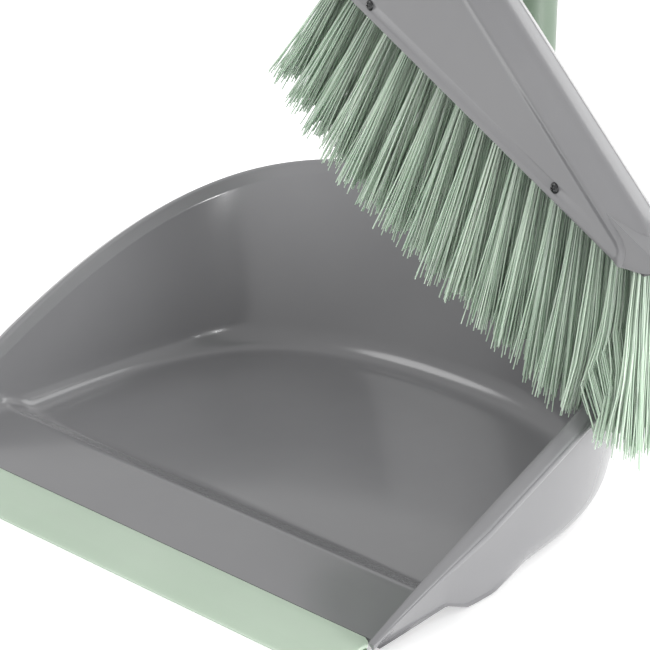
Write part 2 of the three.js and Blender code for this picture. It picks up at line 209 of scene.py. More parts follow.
def rangeNode(tree, source, low, high, fromLow=0.3, fromHigh=0.7):
    node = tree.nodes.new("ShaderNodeMapRange")
    node.inputs["From Min"].default_value = fromLow
    node.inputs["From Max"].default_value = fromHigh
    node.inputs["To Min"].default_value = low
    node.inputs["To Max"].default_value = high
    tree.links.new(source, node.inputs["Value"])
    return node


# Stacks bump layers of (noise node, strength, distance).
def bumpNode(tree, layers):
    last = None
    for noise, strength, distance in layers:
        bump = tree.nodes.new("ShaderNodeBump")
        bump.inputs["Strength"].default_value = strength
        bump.inputs["Distance"].default_value = distance
        link(tree, noise, "Fac", bump, "Height")
        if last is not None:
            link(tree, last, "Normal", bump, "Normal")
        last = bump
    return last


# Injection moulded plastic: slow colour drift, fine orange peel, slight sink waves and rub marks.
def plastic(name, low, high, rough, coat=0.0, wave=0.35, peel=0.12, sub=0.0):
    mat, tree, bsdf = newMaterial(name)
    drift = noiseNode(tree, 14, 4, 0.55)
    fine = noiseNode(tree, 1400, 2, 0.5)
    sink = noiseNode(tree, 22, 2, 0.4)
    rub = noiseNode(tree, 60, 5, 0.65, (1, 7, 3))
    colour = rampNode(tree, drift.outputs["Fac"], [(0.3, low), (0.75, high)])
    link(tree, colour, "Color", bsdf, "Base Color")
    roughness = rangeNode(tree, rub.outputs["Fac"], rough * 0.92, rough * 1.12)
    link(tree, roughness, "Result", bsdf, "Roughness")
    bump = bumpNode(tree, [(sink, wave, 0.0006), (fine, peel, 0.00006)])
    link(tree, bump, "Normal", bsdf, "Normal")
    bsdf.inputs["Coat Weight"].default_value = coat
    bsdf.inputs["Coat Roughness"].default_value = 0.12
    bsdf.inputs["IOR"].default_value = 1.49
    if sub:
        bsdf.inputs["Subsurface Weight"].default_value = sub
        bsdf.inputs["Subsurface Radius"].default_value = (0.004, 0.005, 0.004)
        bsdf.inputs["Subsurface Scale"].default_value = 1.0
    return mat


def bristleMaterial():
    mat, tree, bsdf = newMaterial("bristle")
    tone = tree.nodes.new("ShaderNodeAttribute")
    tone.attribute_name = "strandTone"
    down = tree.nodes.new("ShaderNodeAttribute")
    down.attribute_name = "strandDown"
    colour = rampNode(tree, tone.outputs["Fac"], [(0.0, (0.36, 0.47, 0.37)), (1.0, (0.58, 0.69, 0.57))])
    # painted shade: each strand's colour is multiplied by 0.72 at its root, rising to 1.06 from 45 % of the
    # way down, for the shade the cover and the neighbouring tufts cast near the roots
    depth = rangeNode(tree, down.outputs["Fac"], 0.72, 1.06, 0.0, 0.45)
    mix = tree.nodes.new("ShaderNodeMix")
    mix.data_type = "RGBA"
    mix.blend_type = "MULTIPLY"
    mix.inputs["Factor"].default_value = 1.0
    tree.links.new(colour.outputs["Color"], mix.inputs[6])
    tree.links.new(depth.outputs["Result"], mix.inputs[7])
    tree.links.new(mix.outputs[2], bsdf.inputs["Base Color"])
    streak = noiseNode(tree, 900, 2, 0.5, (1, 1, 0.05))
    bump = bumpNode(tree, [(streak, 0.2, 0.00005)])
    link(tree, bump, "Normal", bsdf, "Normal")
    bsdf.inputs["Roughness"].default_value = 0.42
    bsdf.inputs["Subsurface Weight"].default_value = 0.4
    bsdf.inputs["Subsurface Radius"].default_value = (0.0008, 0.001, 0.0008)
    bsdf.inputs["Subsurface Scale"].default_value = 1.0
    return mat


blank = bpy.data.materials.new("blank")
panGrey = plastic("panGrey", (0.165, 0.165, 0.171), (0.18, 0.18, 0.185), 0.19,
                  coat=0.35, wave=0.07, peel=0.04)
lipGreen = plastic("lipGreen", (0.39, 0.48, 0.385), (0.42, 0.51, 0.415), 0.36, wave=0.1, sub=0.2)
# painted shade: this green is darker than the pole's own light green, standing in for the shadow the pole
# sits in behind the brush head
shadedPoleGreen = plastic("shadedPoleGreen", (0.14, 0.19, 0.14), (0.16, 0.21, 0.16), 0.34, coat=0.1, wave=0.05)
blackTrim = plastic("blackTrim", (0.006, 0.007, 0.008), (0.01, 0.011, 0.012), 0.22, coat=0.3, wave=0.1)
bristleGreen = bristleMaterial()
print("stage: finishes made")


# pan tray: cubic rim and floor outlines, right half mirrored

tray = {
    "rim": ((133.1, -124.7, 9.9), (139.6, 23.1, 91.7), (148.8, 117.5, 92.5), (0, 117.5, 92.5)),
    "corner": ((130.5, -72.8, 0), (131.5, 30, 0), (117, 90, 0), (0, 90, 0)),
    "flat": ((115.7, -72.8, 0), (124.5, 19.5, 0), (105.1, 78.9, 0), (0, 78.9, 0)),
    "mouthHalf": 127.3, "mouthCorner": 129.6, "mouthY": -117.5, "mouthZ": 6.0,
    "crestY": -79.0, "crestZ": 8.6, "wellY": -66.5,
    "wall": 2.5, "flange": 6.8, "drop": 6.0, "flare": 2.4, "band": 5.5,
    "frontSteps": 24, "backSteps": 96,
}


def cubic(points, t):
    s = 1 - t
    a, b, c, d = (Vector(p) for p in points)
    return a * s ** 3 + b * (3 * s * s * t) + c * (3 * s * t * t) + d * t ** 3


def rimTime(y):
    low, high = 0.0, 1.0
    for _ in range(40):
        mid = (low + high) / 2
        if cubic(tray["rim"], mid).y < y:
            low = mid
        else:
            high = mid
    return low


def smoothMax(a, b, k):
    h = max(k - abs(a - b), 0) / k
    return max(a, b) + h * h * k / 4


# Ramp to the crest, a short slope down, then the flat well, all softly rounded.
def floorHeight(y):
    climb = (tray["crestZ"] - tray["mouthZ"]) / (tray["crestY"] - tray["mouthY"])
    up = tray["mouthZ"] + climb * (y - tray["mouthY"])
    slope = (tray["crestZ"] - tray["wall"]) / (tray["wellY"] - tray["crestY"])
    down = tray["crestZ"] - slope * (y - tray["crestY"])
    ridge = -smoothMax(-up, -down, 0.9)
    return smoothMax(ridge, tray["wall"], 0.9)


def trayStations():
    out = []
    start, side = tray["flat"][0], tray["corner"][0]
    meet = rimTime(start[1])
    front = tray["frontSteps"]
    for i in range(front + 1):
        t = i / front
        y = tray["mouthY"] + (start[1] - tray["mouthY"]) * t
        x = tray["mouthHalf"] + (start[0] - tray["mouthHalf"]) * t
        foot = tray["mouthCorner"] + (side[0] - tray["mouthCorner"]) * t
        out.append((Vector((x, y, 0)), Vector((foot, y, 0)), cubic(tray["rim"], meet * t)))
    for i in range(1, tray["backSteps"] + 1):
        t = i / tray["backSteps"]
        rim = cubic(tray["rim"], meet + (1 - meet) * t)
        out.append((cubic(tray["flat"], t), cubic(tray["corner"], t), rim))
    return out


def sideways(stations, which, i):
    if i == len(stations) - 1:
        return Vector((0, 1, 0))
    a, b = stations[max(0, i - 1)][which], stations[i + 1][which]
    return Vector((b.y - a.y, a.x - b.x, 0)).normalized()


# flange points as (out, up) in mm; its underside as (share of the width, fixed drop, drop at full height)
flangeTop = [(0.35, 0.04), (0.8, 0.16), (1.4, 0.16), (2.1, -0.02), (3.4, -0.68), (4.7, -1.4), (5.35, -1.72),
             (5.7, -2.05), (5.85, -2.6), (6.05, -3.0), (6.5, -3.2), (6.8, -3.7), (6.85, -4.4)]
flangeUnder = [(0.26, 1.27, 2.1), (0.32, 1.3, 1.95), (0.4, 1.3, 1.9), (0.5, 1.35, 2.1), (0.6, 1.4, 2.3),
               (0.7, 1.43, 2.5), (0.8, 1.46, 2.7), (0.88, 1.5, 2.85), (0.94, 1.53, 3.0),
               (0.98, 1.56, 3.15), (1.0, 1.58, 3.3), (1.0, 1.62, 3.4), (1.0, 1.66, 3.5)]


# Floor, fillet, wall, crease, flared band, crest, flange and its turned down bead.
# The underside runs beside it.
def traySection(stations, i):
    flat, foot, rim = stations[i]
    corner = Vector((foot.x, foot.y, floorHeight(foot.y)))
    flatEnd = Vector((flat.x, flat.y, floorHeight(flat.y)))
    footOut = Vector((1, 0, 0)) if i == 0 else sideways(stations, 1, i)
    rimOut = sideways(stations, 2, i)
    size = min(1.0, (rim.z - corner.z) / 30)
    at = lambda w, z: rim + rimOut * w + Vector((0, 0, z))
    crease = at(-tray["flare"] * size, -tray["band"] * size)
    rise = crease - corner
    height = rise.length
    rise.normalize()
    before, after = stations[max(0, i - 1)], stations[min(len(stations) - 1, i + 1)]
    along = after[1] + after[2] - before[1] - before[2]
    if i == len(stations) - 1:
        along = Vector((-1, 0, 0))
    out = along.cross(rise).normalized()
    wall = tray["wall"]
    low = Vector((0, 0, -wall))
    wallFoot = corner + rise * min((flatEnd - corner).length, height * 0.45)
    inner, outer = [], []
    for k in range(12):
        t = math.sin(k / 12 * math.pi / 2)
        inner.append(Vector((flatEnd.x * t, flatEnd.y, flatEnd.z)))
        outer.append(Vector((flatEnd.x * t, flatEnd.y, flatEnd.z - wall)))
    shift = wall * (1 + out.z) / max(0.2, footOut.dot(out))
    cornerOut = corner + footOut * shift + low
    flatOut = flatEnd + low
    wallOut = wallFoot + out * wall
    ledge = max(0.0, min(1.0, (-12 - foot.y) / 40)) * 1.5
    crisp = max(0.0, min(1.0, (-25 - foot.y) / 25))
    for k in range(13):
        t = k / 12
        inner.append(flatEnd * (1 - t) ** 2 + corner * 2 * t * (1 - t) + wallFoot * t * t)
        p = flatOut * (1 - t) ** 2 + cornerOut * 2 * t * (1 - t) + wallOut * t * t
        p = p.lerp(cornerOut, 3.0 * crisp * t * (1 - t))
        outer.append(p + footOut * ledge * math.exp(-((t - 0.42) / 0.2) ** 4))
    creaseOut = crease + out * wall - Vector((0, 0, 1.5 * (1 - size)))
    for k in range(1, 7):
        inner.append(wallFoot.lerp(crease, k / 7))
        outer.append(wallOut.lerp(creaseOut, k / 7))
    grow = min(1, 0.4 + 0.6 * max(0, rim.y - tray["rim"][0][1]) / 60)
    s = min(grow, size)
    near = (creaseOut - rim).dot(rimOut)
    width = max(tray["flange"] * grow, near + 0.9)
    inside = width - (0.7 + 1.1 * s)
    drop = max(tray["drop"] * s, 2.3)
    full = tray["flange"]
    top = [crease - rise * 0.5 * size, crease, crease.lerp(rim, 0.08), crease.lerp(rim, 0.45),
           crease.lerp(rim, 0.8), crease.lerp(rim, 0.92) + rimOut * 0.06]
    top += [at(w / full * width, z * s) for w, z in flangeTop]
    top += [at(width - 0.05, -drop * 0.88), at(width - 0.4, -drop)]
    underEnd = at(near + 0.22 * (inside - near), -(1.25 + 2.25 * s))
    under = [creaseOut] * 3 + [creaseOut.lerp(underEnd, k / 3) for k in (1, 2, 3)]
    under += [at(near + f * (inside - near), -(a + b * s)) for f, a, b in flangeUnder]
    under += [at(inside + 0.02, -drop * 0.95), at(inside + 0.25, -drop)]
    inner.extend(top)
    outer.extend(under)
    return inner, outer


def buildTray():
    stations = trayStations()
    sections = [traySection(stations, i) for i in range(len(stations))]
    verts, faces = [], []

    def grid(which, side):
        rows = []
        for i, sec in enumerate(sections):
            row = []
            for p in sec[which]:
                x = 0 if i == len(sections) - 1 else p.x * side
                row.append(len(verts))
                verts.append((x * mm, p.y * mm, p.z * mm))
            rows.append(row)
        return rows

    for side in (1, -1):
        top, under = grid(0, side), grid(1, side)
        last = len(top[0]) - 1

        def quad(a, b, c, d):
            faces.append((a, b, c, d) if side == 1 else (d, c, b, a))

        for i in range(len(top) - 1):
            for j in range(last):
                quad(top[i][j], top[i][j + 1], top[i + 1][j + 1], top[i + 1][j])
                quad(under[i + 1][j], under[i + 1][j + 1], under[i][j + 1], under[i][j])
            quad(top[i][last], under[i][last], under[i + 1][last], top[i + 1][last])
        for j in range(last):
            quad(under[0][j], under[0][j + 1], top[0][j + 1], top[0][j])
    return addPiece("panTray", verts, faces, panGrey, sharp=32)


panTray = buildTray()


# socket column behind the pan, with its two ribs and the tongue under the lip

column = {"y": 131.2, "radius": 15, "top": 126, "bore": 11.8, "boreFloor": 46}


def buildColumn():
    r, top, bore, low = column["radius"], column["top"], column["bore"], column["boreFloor"]
    profile = [(0, 0), (r - 1.2, 0), (r - 0.3, 0.4), (r, 1.4), (r, 104), (r + 0.9, 105.2), (r + 1.1, 107),
               (r + 1.1, top - 2.2), (r + 0.7, top - 0.8), (r - 0.3, top), (bore + 0.8, top),
               (bore, top - 0.9), (bore, low), (0, low)]
    place = Matrix.Translation((0, column["y"] * mm, 0))
    return addPiece("panColumn", *latheMesh(profile, 128), panGrey, place=place)


panColumn = buildColumn()
ribParts = []
for side in (-1, 1):
    outline = rounded([(90.5, 0), (121, 0), (121, 84), (116.6, 84)], 1.0)
    place = Matrix.Translation((side * 9 * mm, 0, 0)) @ Matrix.Rotation(math.pi / 2, 4, "Z")
    rib = shape(f"panRib{side}", prism(outline, 2.4), place)
    ribParts.append(baked(soften(rib, 0.0004), panGrey))
tongueBox = [(-121, 2.2), (121, 2.2), (121, 3.4), (-121, 3.4)]
panTongue = shape("panTongue", prism(tongueBox, 14), Matrix.Translation((0, (tray["mouthY"] - 1) * mm, 0)))
panTongue = baked(soften(panTongue, 0.0004), panGrey)
for obj in [panTray, panColumn, panTongue] + ribParts:
    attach(obj, "pan")
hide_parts("pan_shell")
print("stage: pan made")


# soft lip: a thin wedge with a shallow crease and a bevelled front edge

lip = {"half": 128.0, "front": -142.0, "back": -117.8, "top": 6.2, "columns": 96}


def buildLip():
    f, b, top = lip["front"], lip["back"], lip["top"]
    outline = [(f, 0.5), (f + 0.3, 0.14), (f + 1.1, 0), (b - 0.4, 0), (b, 0.35), (b, 1.9), (b - 9.4, 1.9),
               (b - 9.4, 3.6), (b, 3.6), (b, top - 0.5), (b - 0.15, top - 0.12), (b - 0.6, top),
               (b - 4, top - 0.62), (b - 8, top - 1.38), (f + 9.4, 3.24), (f + 8.8, 3.1), (f + 8.2, 2.94),
               (f + 7.4, 2.8), (f + 6.0, 2.52), (f + 3, 1.9), (f + 1.2, 1.5), (f + 0.4, 1.24), (f, 0.85)]
    n = len(outline)
    verts, faces = [], []
    for i in range(lip["columns"] + 1):
        x = lip["half"] * (2 * i / lip["columns"] - 1)
        ease = max(0.0, (abs(x) - (lip["half"] - 1.2)) / 1.2)
        for y, z in outline:
            if abs(x) > 127.4 and y > -119.4:
                y = -119.4 + (y + 119.4) * 0.02
            inset = 0.5 * ease if y < -135 else 0
            verts.append((x * mm, (y + inset) * mm, (z + (1 - z / 3) * 0.22 * ease) * mm))
    for i in range(lip["columns"]):
        for j in range(n):
            k = (j + 1) % n
            faces.append((i * n + j, i * n + k, (i + 1) * n + k, (i + 1) * n + j))
    faces.append(tuple(range(n - 1, -1, -1)))
    faces.append(tuple(range(lip["columns"] * n, (lip["columns"] + 1) * n)))
    return addPiece("lipStrip", verts, faces, lipGreen, sharp=28)


lipStrip = buildLip()
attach(lipStrip, "pan")
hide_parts("lip_strip")


# poles and grips

pole = {"radius": 11.5, "inside": 10.9, "length": 700, "panFoot": 46.3, "brushFoot": 66.3,
        "neckX": -34, "tilt": -4.7}
brushTurn = (Matrix.Rotation(math.radians(-11.2), 4, "Z") @ Matrix.Rotation(math.radians(20.5), 4, "Y")
             @ Matrix.Rotation(math.radians(-2.7), 4, "X"))
brushFrame = Matrix.Translation((0.0566, 0.025, 0.1712)) @ brushTurn
panPoleFrame = Matrix.Translation((0, column["y"] * mm, pole["panFoot"] * mm))
neckFrame = (brushFrame @ Matrix.Translation((pole["neckX"] * mm, 0, 0))
             @ Matrix.Rotation(math.radians(pole["tilt"]), 4, "Y"))
brushPoleFrame = neckFrame @ Matrix.Translation((0, 0, pole["brushFoot"] * mm))


def buildPole(name, place):
    r, q, h = pole["radius"], pole["inside"], pole["length"]
    pairs = [(q, 0.3), (q + 0.3, 0), (r - 0.3, 0), (r, 0.3)]
    pairs += [(r, h * k / 12) for k in range(1, 12)]
    pairs += [(r, h - 0.3), (r - 0.3, h), (q + 0.3, h), (q, h - 0.3), (q, h / 2), (q, 0.3)]
    return addPiece(name, *latheMesh(pairs, 96), shadedPoleGreen, place=place)


grip = {"length": 130, "radius": 15.5, "cover": 70, "hole": 6.5, "grooves": 9}


def buildGrip(name, place):
    r, q, h = grip["radius"], pole["radius"], grip["length"]
    pairs = [(0, grip["cover"] + 0.3), (q + 0.3, grip["cover"] + 0.3), (q + 0.3, 0.5), (q + 0.6, 0),
             (q + 1.5, 0), (q + 2.1, 0.5), (q + 2.4, 1.5), (14.6, 12), (r - 0.1, 18)]
    for k in range(grip["grooves"]):
        z = 22 + k * 5.2
        pairs += [(r, z), (r - 0.12, z + 0.9), (r - 0.7, z + 1.5), (r - 0.9, z + 2.0), (r - 0.7, z + 2.5),
                  (r - 0.12, z + 3.1)]
    pairs += [(r + 0.3, 72), (r - 0.4, 86), (r - 1.1, 96), (r - 1.0, 106), (r - 0.6, h - 14),
              (r - 1.6, h - 8.5), (r - 4, h - 4), (r - 6.5, h - 1.2), (r - 8.5, h - 0.2), (0, h)]
    body = shape(name, latheMesh(pairs, 96))
    cuts = []
    for side in (-1, 1):
        outline = [(side * x, z) for x, z in
                   ((30, 78), (30, h + 2), (8.05, h + 2), (8.05, 93), (9.2, 87), (14.2, 78))]
        cuts.append(shape("cut", prism(outline, 60), Matrix.Rotation(math.pi / 2, 4, "Z")))
    hole = latheMesh([(0, -25), (grip["hole"], -25), (grip["hole"], 25), (0, 25)], 64)
    turn = Matrix.Translation((0, 0, (h - 17) * mm)) @ Matrix.Rotation(math.pi / 2, 4, "X")
    cuts.append(shape("cut", hole, turn))
    return baked(soften(carve(body, cuts), 0.0009, 45, 3), panGrey, 40, place)


panPole = buildPole("panPole", panPoleFrame)
brushPole = buildPole("brushPole", brushPoleFrame)
lift = Matrix.Translation((0, 0, (pole["length"] - grip["cover"]) * mm))
panGrip = buildGrip("panGrip", panPoleFrame @ lift)
brushGrip = buildGrip("brushGrip", brushPoleFrame @ lift)
for obj, body, node, look in ((panPole, "pan", "pan_pole", "pole_green"),
                              (brushPole, "brush", "brush_pole", "pole_green"),
                              (panGrip, "pan", "pan_grip", "pan_grey"),
                              (brushGrip, "brush", "brush_grip", "pan_grey")):
    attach(obj, body)
    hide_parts(node)
print("stage: poles and grips made")


# brush cover: raised roof swept along the sloping top edges, flat faces between

cover = {"right": 108, "left": -96, "ridgeEnd": 7.9, "slope": 0.2937, "neckX": -34, "neck": 15,
         "skirt": 12.3, "band": 13.1, "rise": 8.2, "steps": 46, "lipRight": 128, "lipLeft": -113,
         "blockRight": 118, "blockLeft": -98, "pocket": 17.4,
         "screwX": 64.6, "screwZ": 5.2, "screwHole": 2.35}


# Ridge line of one side, from the foot of its end up to the neck, as (point, outward normal)
# measured from the neck.
def coverPath(side):
    h = cover
    ridge = lambda x: h["ridgeEnd"] + h["slope"] * (h["right"] - x)
    neckTop = ridge(h["neckX"] + h["neck"])
    reach = h["right"] - h["neckX"] if side > 0 else h["neckX"] - h["left"]
    corners = [(reach, -4), (reach, h["ridgeEnd"]), (h["neck"], neckTop), (6.0, 72)]
    points = [Vector((*corners[0], 0))]
    for a, b, c, r in zip(corners, corners[1:], corners[2:], (5.5, 9)):
        a, b, c = (Vector((*p, 0)) for p in (a, b, c))
        start, end = b + (a - b).normalized() * r, b + (c - b).normalized() * r
        for k in range(17):
            t = k / 16
            points.append(start * (1 - t) ** 2 + b * 2 * t * (1 - t) + end * t * t)
    points.append(Vector((*corners[-1], 0)))
    total = sum((b - a).length for a, b in zip(points, points[1:]))
    even, walked, nextAt = [points[0]], 0.0, total / cover["steps"]
    for a, b in zip(points, points[1:]):
        length = (b - a).length
        while walked + length >= nextAt - 1e-6 and len(even) < cover["steps"]:
            even.append(a.lerp(b, (nextAt - walked) / length))
            nextAt += total / cover["steps"]
        walked += length
    even.append(points[-1])
    out = []
    for i, p in enumerate(even):
        d = even[min(i + 1, len(even) - 1)] - even[max(i - 1, 0)]
        n = Vector((1, 0, 0)) if i in (0, len(even) - 1) else Vector((d.y, -d.x, 0)).normalized()
        out.append((p, n))
    return out


# Hollow for the tufts' bar and the screw holes, cut from the cover and from its lower lip.
def coverCuts():
    left, right = cover["blockLeft"] - 1, cover["blockRight"] + 1
    hollow = [(left, -1), (right, -1), (right, 9), (90, 14.5), (60, 17.5), (-75, 17.5), (left, 9)]
    cuts = [shape("cut", prism(rounded(hollow, 0.8), cover["pocket"]))]
    r = cover["screwHole"]
    for x in (-cover["screwX"], cover["screwX"]):
        place = Matrix.Translation((x * mm, 0, cover["screwZ"] * mm)) @ Matrix.Rotation(math.pi / 2, 4, "X")
        cuts.append(shape("cut", latheMesh([(0, -16), (r, -16), (r, 16), (0, 16)], 40), place))
    return cuts


def buildCover():
    s, w, rise = cover["skirt"], cover["band"], cover["rise"]
    half = [(-s, -4.6), (-s, -4.2), (-s - 0.02, -3.7), (-s - 0.08, -3.1), (-s - 0.25, -2.4), (-s - 0.5, -1.7),
            (-w + 0.12, -1.0), (-w, -0.45), (-w + 0.05, 0.1), (-w + 0.35, 0.65), (-w + 0.9, 1.1),
            (-w + 3.4, rise * 0.4), (-w + 5.8, rise * 0.63), (-4.9, rise - 1.4), (-4.3, rise - 0.6),
            (-3.6, rise - 0.15), (-2.8, rise)]
    profile = half + [(0, rise + 0.15)] + [(-y, n) for y, n in reversed(half)]
    paths = {1: coverPath(1), -1: coverPath(-1)}
    verts, faces, rows = [], [], {}
    for side in (1, -1):
        rows[side] = []
        for p, n in paths[side]:
            row = []
            for y, off in profile:
                x = max(0.35, p.x + n.x * off)
                z = max(0.0, p.y + n.y * off)
                row.append(len(verts))
                verts.append(((cover["neckX"] + side * x) * mm, y * mm, z * mm))
            rows[side].append(row)
    last = len(profile) - 1
    for i in range(len(paths[1]) - 1):
        for side in (1, -1):
            a, b = rows[side][i], rows[side][i + 1]
            for j in range(last):
                face = (a[j], b[j], b[j + 1], a[j + 1])
                faces.append(face if side == 1 else face[::-1])
        for j in (0, last):
            faces.append((rows[1][i][j], rows[-1][i][j], rows[-1][i + 1][j], rows[1][i + 1][j]))
    faces.append(tuple(rows[1][0]) + tuple(reversed(rows[-1][0])))
    faces.append(tuple(rows[1][-1]) + tuple(reversed(rows[-1][-1])))
    body = addPiece("brushCover", verts, faces, blank)
    return baked(soften(carve(body, coverCuts()), 0.00045, 55, 2), panGrey, 42, brushFrame)


# lower lip of the cover, longer than the roof, its ends swept up
def buildSkirt():
    r, l = cover["lipRight"], cover["lipLeft"]
    outline = [(r - 26, 0), (r - 20, 0.5), (r - 14, 2.0), (r - 8, 5.2), (r - 3, 9.4), (r - 0.6, 12),
               (r - 1.4, 13.4), (r - 5, 14), (r - 40, 14), (l + 40, 14), (l + 5, 14), (l + 1.4, 13.4),
               (l + 0.6, 12), (l + 3, 9.4), (l + 8, 5.2), (l + 14, 2.0), (l + 20, 0.5), (l + 26, 0)]
    body = shape("brushSkirt", prism(rounded(outline, 3, 4), 23.6))
    return baked(soften(carve(body, coverCuts()), 0.0011, 50, 4), panGrey, 42, brushFrame)


brushCover = buildCover()
brushSkirt = buildSkirt()
neckPairs = [(0, 40), (9, 40), (11.4, 50), (13.3, 60), (14.5, 69), (15.0, 76), (15.0, 80), (15.0, 86),
             (16.0, 87.4), (16.2, 89), (16.2, 101.6), (15.8, 103.3), (14.8, 104), (12.6, 104),
             (11.8, 103.2), (11.8, 66), (0, 66)]
brushNeck = addPiece("brushNeck", *latheMesh(neckPairs, 128), panGrey, place=neckFrame)
for obj in (brushCover, brushSkirt, brushNeck):
    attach(obj, "brush")
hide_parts("brush_cover")
print("stage: brush cover made")


# cover screws: domed black heads with a cross recess

screw = {"head": 2.25, "out": 12.0,
         "node": {(-1, -1): "screw_front_left", (1, -1): "screw_front_right",
                  (-1, 1): "screw_back_left", (1, 1): "screw_back_right"}}


def buildScrew(name, x, side):
    r = screw["head"]
    pairs = [(0, -2.0), (r - 0.2, -2.0), (r, -1.8), (r, 0.3), (r - 0.15, 0.75), (r - 0.6, 1.15),
             (r - 1.3, 1.42), (0, 1.5)]
    body = shape(name, latheMesh(pairs, 48))
    cuts = []
    for turn in (0, math.pi / 2):
        bar = prism([(-1.25, 0.7), (1.25, 0.7), (1.5, 2.2), (-1.5, 2.2)], 0.55)
        cuts.append(shape("cut", bar, Matrix.Rotation(turn + 0.5, 4, "Z")))
    face = Matrix.Rotation(-side * math.pi / 2, 4, "X")
    seat = Matrix.Translation((x * cover["screwX"] * mm, side * screw["out"] * mm, cover["screwZ"] * mm))
    place = brushFrame @ seat @ face
    return baked(soften(carve(body, cuts), 0.00008, 40, 2), blackTrim, 40, place)


for (x, side), node in screw["node"].items():
    piece = buildScrew("cover" + node.title().replace("_", ""), x, side)
    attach(piece, "brush")
    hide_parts(node)
print("stage: screws made")


# bristles: one node tree sets out the tufts and every strand in them

bristle = {
    "Columns": 17, "Rows": 3, "Middle": 0.0105, "Pitch": 0.0128, "Row Gap": 0.0052, "Strands": 56,
    "Tuft Radius": 0.0027, "Length": 0.0778, "Left Trim": 3.6, "Right Trim": 3.2, "Length Change": 0.055,
    "Lean": 0.05, "Fan": 3.4, "Spread": 1.4, "Wander": 0.0028, "Strand Radius": 0.00037, "Deepen": 0.42,
    "Part At": 0.1150, "Part Slope": -0.42, "Part Width": 0.0062, "Seed": 7,
}


# A short way to write node maths.
class Tree:
    def __init__(self, name):
        self.group = bpy.data.node_groups.new(name, "GeometryNodeTree")
        self.nodes = self.group.nodes
        self.links = self.group.links

    def add(self, kind, **settings):
        node = self.nodes.new(kind)
        for key, value in settings.items():
            setattr(node, key, value)
        return node

    def feed(self, value, socket):
        if isinstance(value, bpy.types.NodeSocket):
            self.links.new(value, socket)
        else:
            socket.default_value = value

    def math(self, op, a, b=0.0):
        node = self.add("ShaderNodeMath", operation=op)
        self.feed(a, node.inputs[0])
        self.feed(b, node.inputs[1])
        return node.outputs[0]

    def chance(self, low, high, seed, ident):
        node = self.add("FunctionNodeRandomValue", data_type="FLOAT")
        self.feed(low, node.inputs[2])
        self.feed(high, node.inputs[3])
        self.feed(ident, node.inputs["ID"])
        self.feed(seed, node.inputs["Seed"])
        return node.outputs[1]

    def store(self, geometry, name, value):
        node = self.add("GeometryNodeStoreNamedAttribute", data_type="FLOAT", domain="POINT")
        self.feed(geometry, node.inputs["Geometry"])
        node.inputs["Name"].default_value = name
        self.feed(value, node.inputs["Value"])
        return node.outputs["Geometry"]

    def read(self, name):
        node = self.add("GeometryNodeInputNamedAttribute", data_type="FLOAT")
        node.inputs["Name"].default_value = name
        return node.outputs["Attribute"]


